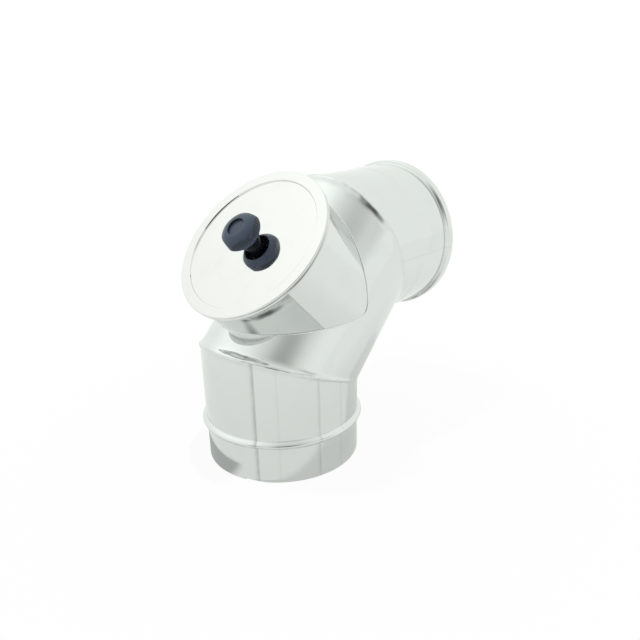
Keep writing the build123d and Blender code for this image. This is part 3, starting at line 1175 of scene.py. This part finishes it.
def steel(name, colour, dull_colour, polish, swell, size, scratches, weld_shade=0.62, all_weld=False):
    """Polished or plated steel with finger marks, scratches and, along seams, weld grain; the seam value also
    paints shade.
    """
    material, tree, shader = new_material(name)
    shader.inputs["Metallic"].default_value = 1.0
    marks = add_group(tree, "marks", Size=size, Scratches=scratches)
    relief = add_group(tree, "relief", Swell=swell)
    weld = add_group(tree, "weld")
    if all_weld:
        weld.inputs["Seam"].default_value = 1.0
    else:
        tree.links.new(stored_seam(tree), weld.inputs["Seam"])
    smudge, mask = marks.outputs["Smudge"], weld.outputs["Mask"]
    surface = blend_colour(tree, math_node(tree, "MULTIPLY", smudge, SMUDGE_TINT), colour, dull_colour)
    # The weld's grey also serves as painted shade where the stored value marks it
    weld_and_shade_colour = tuple(weld_shade * channel for channel in colour)
    tree.links.new(blend_colour(tree, mask, surface, weld_and_shade_colour), shader.inputs["Base Color"])
    roughness = math_node(tree, "MULTIPLY", smudge, SMUDGE_DULL)
    for value, factor in ((marks.outputs["Scratch"], SCRATCH_DULL), (mask, WELD_DULL)):
        roughness = math_node(tree, "ADD", roughness, math_node(tree, "MULTIPLY", value, factor))
    tree.links.new(math_node(tree, "ADD", roughness, polish), shader.inputs["Roughness"])
    ripple = math_node(tree, "MULTIPLY", weld.outputs["Height"], WELD_RELIEF)
    add_bump(tree, shader, math_node(tree, "ADD", relief.outputs["Height"], ripple), 1.0)
    return material


SHEET_COLOUR = (0.735, 0.745, 0.735)
SHEET_DULL = (0.68, 0.69, 0.68)
LID_COLOUR = (0.755, 0.745, 0.735)
PLATED_COLOUR = (0.58, 0.60, 0.61)
PLATED_DULL = (0.47, 0.48, 0.48)
materials = {
    "sheet": steel("bright_sheet", SHEET_COLOUR, SHEET_DULL, 0.07, 0.16, 45.0, 0.5),
    "lid": steel("polished_lid", LID_COLOUR, SHEET_DULL, 0.045, 0.05, 38.0, 0.6),
    "weld": steel("weld_bead", (0.86, 0.87, 0.86), SHEET_DULL, 0.2, 0.0, 90.0, 0.0, 0.97, True),
    "plated": steel("plated_steel", PLATED_COLOUR, PLATED_DULL, 0.24, 0.03, 160.0, 0.4),
    "black": steel("blackened_steel", (0.03, 0.03, 0.035), (0.05, 0.05, 0.05), 0.4, 0.0, 160.0, 0.2),
}
print("steel materials:", ", ".join(material.name for material in materials.values()))

# %% [markdown]
# ## Plastic and silicone
# The knob is dark slate plastic with a fine moulded grain, a satin gloss, and edges that fingers have
# polished a little. The two soft rings are grey silicone with a matt, slightly dusty skin.

# %% Moulded materials
# Near-black colour of painted shade, used where a mesh stores it
PAINTED_SHADE_COLOUR = (0.004, 0.005, 0.008)
WEAR_TINT = 0.35
WEAR_DULL = 0.07


def moulded(name, colour, worn_colour, gloss, grain, size, shine):
    """Moulded plastic or silicone with fine grain, uneven gloss and painted shade where the mesh stores it."""
    material, tree, shader = new_material(name)
    shader.inputs["Specular IOR Level"].default_value = shine
    smudge = add_group(tree, "marks", Size=size, Scratches=0.4).outputs["Smudge"]
    relief = add_group(tree, "relief", Swell=0.02, Grain=grain)
    skin = blend_colour(tree, math_node(tree, "MULTIPLY", smudge, WEAR_TINT), colour, worn_colour)
    # Painted shade: the stored value darkens the colour towards near black
    tree.links.new(blend_colour(tree, stored_seam(tree), skin, PAINTED_SHADE_COLOUR), shader.inputs["Base Color"])
    dull = math_node(tree, "MULTIPLY", smudge, WEAR_DULL)
    tree.links.new(math_node(tree, "ADD", dull, gloss), shader.inputs["Roughness"])
    add_bump(tree, shader, relief.outputs["Height"], 1.0)
    return material


SLATE = (0.050, 0.068, 0.104)
SLATE_WORN = (0.062, 0.082, 0.120)
SILICONE = (0.10, 0.10, 0.105)
SILICONE_WORN = (0.14, 0.14, 0.14)
materials["knob"] = moulded("slate_plastic", SLATE, SLATE_WORN, 0.3, 0.004, 120.0, 0.35)
materials["silicone"] = moulded("grey_silicone", SILICONE, SILICONE_WORN, 0.52, 0.006, 80.0, 0.4)
print("moulded materials:", materials["knob"].name, "and", materials["silicone"].name)

# %% [markdown]
# ## Which piece gets which finish
# A table lists each piece's material and its slot in the imported model, and the material is given to the
# piece, so that a change of finish is a change of one word. The retaining clip is small and plain, and the
# imported model's own mesh is kept for it.

# %% Finish of every piece
finishes = {
    "sheet": ("bright_stainless", ["spigot_tube", "gore_tube", "socket_tube", "branch_tube"]),
    "weld": ("bright_stainless", ["saddle_weld"]),
    "lid": ("bright_stainless", ["lid_plate"]),
    "knob": ("knob_plastic", ["lid_knob"]),
    "black": ("clamp_steel", ["washer_disc"]),
    "plated": ("clamp_steel", ["clamp_dish", "clamp_screw", "clamp_nut"]),
    "silicone": ("seal_silicone", ["sealing_ring", "mouth_seal"]),
}
for finish, (slot, names) in finishes.items():
    for name in names:
        pieces[name].data.materials.append(materials[finish])

clip = frame["nodes"]["retaining_clip"]
clip.data.materials.clear()
clip.data.materials.append(materials["plated"])
print(len(pieces) + 1, "pieces finished")

# %% [markdown]
# ## The studio
# Polished metal shows the room more than itself, so the room is designed first: a white tent of faintly
# tinted cloth with a brighter top behind, which the tilted lid mirrors, and a few darker places, the darkest
# where the camera stands. Their reflections give the rounded tubes their grey streaks. A picture of a real
# studio could do the same, but soft spots round a few directions are easier to place and to change.
# The camera itself sees plain white behind the object.

# %% World
DOME_LIGHT = 0.5
TENT_LEVEL = 1.04
TENT_TINT = (0.96, 1.0, 0.963)
BRIGHT_TOP = (-14, 58, 48, 0.32)
DARK_PLACES = [(-138, 20, 34, 0.85), (-150, 42, 50, 0.39), (160, 30, 19, 0.35), (-97, 14, 20, 0.8)]


def direction(azimuth, elevation):
    """Unit vector at an azimuth from +Y towards +X and an elevation, in degrees."""
    a, e = math.radians(azimuth), math.radians(elevation)
    return Vector((math.sin(a) * math.cos(e), math.cos(a) * math.cos(e), math.sin(e)))


def seen_directly(tree, camera_share, mirror_share):
    """Share of white shown to the camera and to reflections, and none to other light."""
    path = tree.nodes.new("ShaderNodeLightPath")
    camera = math_node(tree, "MULTIPLY", path.outputs["Is Camera Ray"], camera_share)
    mirror = math_node(tree, "MAXIMUM", path.outputs["Is Glossy Ray"], path.outputs["Is Transmission Ray"])
    return math_node(tree, "MAXIMUM", camera, math_node(tree, "MULTIPLY", mirror, mirror_share))


def tinted_white(tree):
    """Plain white for the camera, and the faint tint of the tent's cloth for reflections."""
    path = tree.nodes.new("ShaderNodeLightPath")
    return blend_colour(tree, path.outputs["Is Camera Ray"], TENT_TINT, (1.0, 1.0, 1.0))


def measured(tree, coordinate, operation, way=None):
    """Length of a coordinate, or its product with a direction."""
    spot = tree.nodes.new("ShaderNodeTexCoord")
    node = tree.nodes.new("ShaderNodeVectorMath")
    node.operation = operation
    if way is not None:
        node.inputs[1].default_value = way
    tree.links.new(spot.outputs[coordinate], node.inputs[0])
    return node.outputs["Value"]


def show_white(tree, share, lit, white, output):
    """White in place of what the light makes of a surface, by a share, as the output."""
    mix = tree.nodes.new("ShaderNodeMixShader")
    for value, socket in zip((share, lit.outputs[0], white.outputs[0]), mix.inputs):
        tree.links.new(value, socket)
    tree.links.new(mix.outputs[0], tree.nodes[output].inputs["Surface"])


def tent_place(tree, azimuth, elevation, radius, change):
    """Level of the tent round one direction: changed there, and back to 1 at an angle from it."""
    near = measured(tree, "Generated", "DOT_PRODUCT", direction(azimuth, elevation))
    angle = math_node(tree, "ARCCOSINE", near)
    inside = band(tree, angle, math.radians(radius), 0.0)
    return math_node(tree, "ADD", math_node(tree, "MULTIPLY", inside, change), 1.0)


def white_world():
    world = bpy.data.worlds.new("white_tent")
    world.use_nodes = True
    tree = world.node_tree
    tent = tree.nodes["Background"]
    tent.inputs["Strength"].default_value = DOME_LIGHT
    tent.inputs["Color"].default_value = (1, 1, 1, 1)
    level = math_node(tree, "MULTIPLY", tent_place(tree, *BRIGHT_TOP), TENT_LEVEL)
    for azimuth, elevation, radius, depth in DARK_PLACES:
        level = math_node(tree, "MULTIPLY", level, tent_place(tree, azimuth, elevation, radius, -depth))
    path = tree.nodes.new("ShaderNodeLightPath")
    white = tree.nodes.new("ShaderNodeBackground")
    tree.links.new(tinted_white(tree), white.inputs["Color"])
    tree.links.new(math_node(tree, "MAXIMUM", level, path.outputs["Is Camera Ray"]), white.inputs["Strength"])
    show_white(tree, seen_directly(tree, 1.0, 1.0), tent, white, "World Output")
    bpy.context.scene.world = world


white_world()
print("white tent ready, with", len(DARK_PLACES), "dark places")

# %% [markdown]
# ## The floor
# The fitting stands on a pale floor. Far from the foot the floor is shown as plain white, so that it runs
# into the background without an edge, and close to the foot it keeps its own shade and the shadow. Behind
# the foot a shadow is painted into its colour, and the polished end mirrors that.

# %% Floor
FLOOR_SIZE = 6.0
FLOOR_COLOUR = (0.88, 0.91, 0.88)
FLOOR_ROUGHNESS = 0.9
FLOOR_FADE = (0.08, 0.45)
CAMERA_SHARES = (0.95, 1.0)
MIRROR_SHARES = (0.5, 1.0)
# Painted shadow behind the foot: its edges, how much white it takes from the mirrored floor, and its colour
FOOT_EDGE = (0.085, 0.08)
FOOT_BACK = (-0.014, 0.002)
FOOT_SHADE = 0.45
FOOT_SHADOW_COLOUR = (0.33, 0.34, 0.33)


def floor_share(tree, shares):
    """Share of white in the floor: less near the foot, where the shadow is, and all of it far away."""
    far = band(tree, measured(tree, "Object", "LENGTH"), *FLOOR_FADE)
    return math_node(tree, "ADD", math_node(tree, "MULTIPLY", far, shares[1] - shares[0]), shares[0])


def painted_foot_shadow(tree):
    """Painted shadow on the floor close to the foot on its far side: 0 to 1."""
    near = band(tree, measured(tree, "Object", "LENGTH"), *FOOT_EDGE)
    behind = band(tree, measured(tree, "Object", "DOT_PRODUCT", side.tolist()), *FOOT_BACK)
    return math_node(tree, "MULTIPLY", near, behind)


def white_floor():
    half = FLOOR_SIZE / 2
    corners = [(-half, -half, 0), (half, -half, 0), (half, half, 0), (-half, half, 0)]
    mesh = bpy.data.meshes.new("studio_floor")
    mesh.from_pydata(corners, [], [(0, 1, 2, 3)])
    floor = bpy.data.objects.new("studio_floor", mesh)
    bpy.context.scene.collection.objects.link(floor)
    material, tree, shader = new_material("pale_floor")
    foot = painted_foot_shadow(tree)
    # Painted shadow: the floor's colour darkens behind the foot, and mirrors see less white there
    tree.links.new(blend_colour(tree, foot, FLOOR_COLOUR, FOOT_SHADOW_COLOUR), shader.inputs["Base Color"])
    shader.inputs["Roughness"].default_value = FLOOR_ROUGHNESS
    shader.inputs["Specular IOR Level"].default_value = 0.0
    white = tree.nodes.new("ShaderNodeEmission")
    tree.links.new(tinted_white(tree), white.inputs["Color"])
    open_floor = math_node(tree, "ADD", math_node(tree, "MULTIPLY", foot, -FOOT_SHADE), 1.0)
    mirrored = math_node(tree, "MULTIPLY", floor_share(tree, MIRROR_SHARES), open_floor)
    shown = seen_directly(tree, floor_share(tree, CAMERA_SHARES), mirrored)
    show_white(tree, shown, shader, white, "Material Output")
    mesh.materials.append(material)
    floor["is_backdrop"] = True


white_floor()
print("floor ready,", FLOOR_SIZE, "m wide")

# %% [markdown]
# ## The lamps
# A small lamp high on the left makes the shadow and models the knob, and the metal hardly needs it. The
# polished lid also throws light back at the underside of the knob. The renderer could find that light by
# caustics, which are slow and noisy, so a weak disc lamp on the lid's face stands in for it.

# %% Lamps
STAGE_CENTRE = Vector((0.04, 0.0, 0.13))
KEY_LIGHT = 0.42
KEY_AZIMUTH = -50
KEY_ELEVATION = 74
KEY_DISTANCE = 1.5
KEY_SIZE = 0.1
BOUNCE_SIZE = 0.08
BOUNCE_LIGHT = 0.8
BOUNCE_LIFT = 0.0005


def lamp(name, shape, size, radiance, place_at, facing):
    """Area lamp that lights plain surfaces and is not seen by the camera or by mirrors."""
    data = bpy.data.lights.new(name, "AREA")
    data.shape = shape
    data.size = size
    area = size ** 2 * (math.pi / 4 if shape == "DISK" else 1)
    data.energy = radiance * math.pi * area
    made = bpy.data.objects.new(name, data)
    made.location = place_at
    made.rotation_euler = facing.to_track_quat("-Z", "Y").to_euler()
    made.visible_camera = False
    made.visible_glossy = False
    bpy.context.scene.collection.objects.link(made)


key_way = direction(KEY_AZIMUTH, KEY_ELEVATION)
key_radiance = KEY_LIGHT * math.pi * KEY_DISTANCE ** 2 / (KEY_SIZE ** 2 * key_way.z)
lamp("overhead_key", "SQUARE", KEY_SIZE, key_radiance, STAGE_CENTRE + KEY_DISTANCE * key_way, -key_way)
lid_face = Vector(lid_centre * MM)
lid_way = Vector(branch_axis)
lamp("lid_bounce", "DISK", BOUNCE_SIZE, BOUNCE_LIGHT, lid_face + BOUNCE_LIFT * lid_way, lid_way)
print("an overhead lamp, and one on the lid for the light that its mirror throws at the knob")

# %% [markdown]
# ## The camera
# The camera stands a little above the fitting and to the left of the bend, looking at the lid. Its place,
# aim and slight roll were worked out from the outlines of the rims in the photograph.

# %% Camera
CAMERA_PLACE = Vector((-0.35345, -0.37618, 0.29611))
CAMERA_AIM = Vector((0.04209, -0.00857, 0.10429))
CAMERA_ROLL = math.radians(-1.661)
CAMERA_LENS = 37.074
SENSOR_WIDTH = 36

camera = bpy.data.objects.new("camera", bpy.data.cameras.new("camera"))
camera.data.lens = CAMERA_LENS
camera.data.sensor_width = SENSOR_WIDTH
camera.location = CAMERA_PLACE
camera.rotation_mode = "QUATERNION"
level = (CAMERA_AIM - CAMERA_PLACE).to_track_quat("-Z", "Y")
camera.rotation_quaternion = level @ Quaternion((0, 0, 1), CAMERA_ROLL)
bpy.context.scene.collection.objects.link(camera)
bpy.context.scene.camera = camera
bpy.context.scene.view_settings.view_transform = "Standard"
right = camera.rotation_quaternion @ Vector((1, 0, 0))
print("camera's right hand points to", [round(value, 4) for value in right])

# %% [markdown]
# ## Measuring the size
# The finished surfaces are meant to stay inside the imported model's box. Both boxes are measured, and
# how much the largest side grows is printed.

# %% Sizes and the end
visual_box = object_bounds()
growth = (visual_box[1] - visual_box[0]) - (cad_box[1] - cad_box[0])
print("largest side grows by", round(max(growth) / MM, 3), "mm")
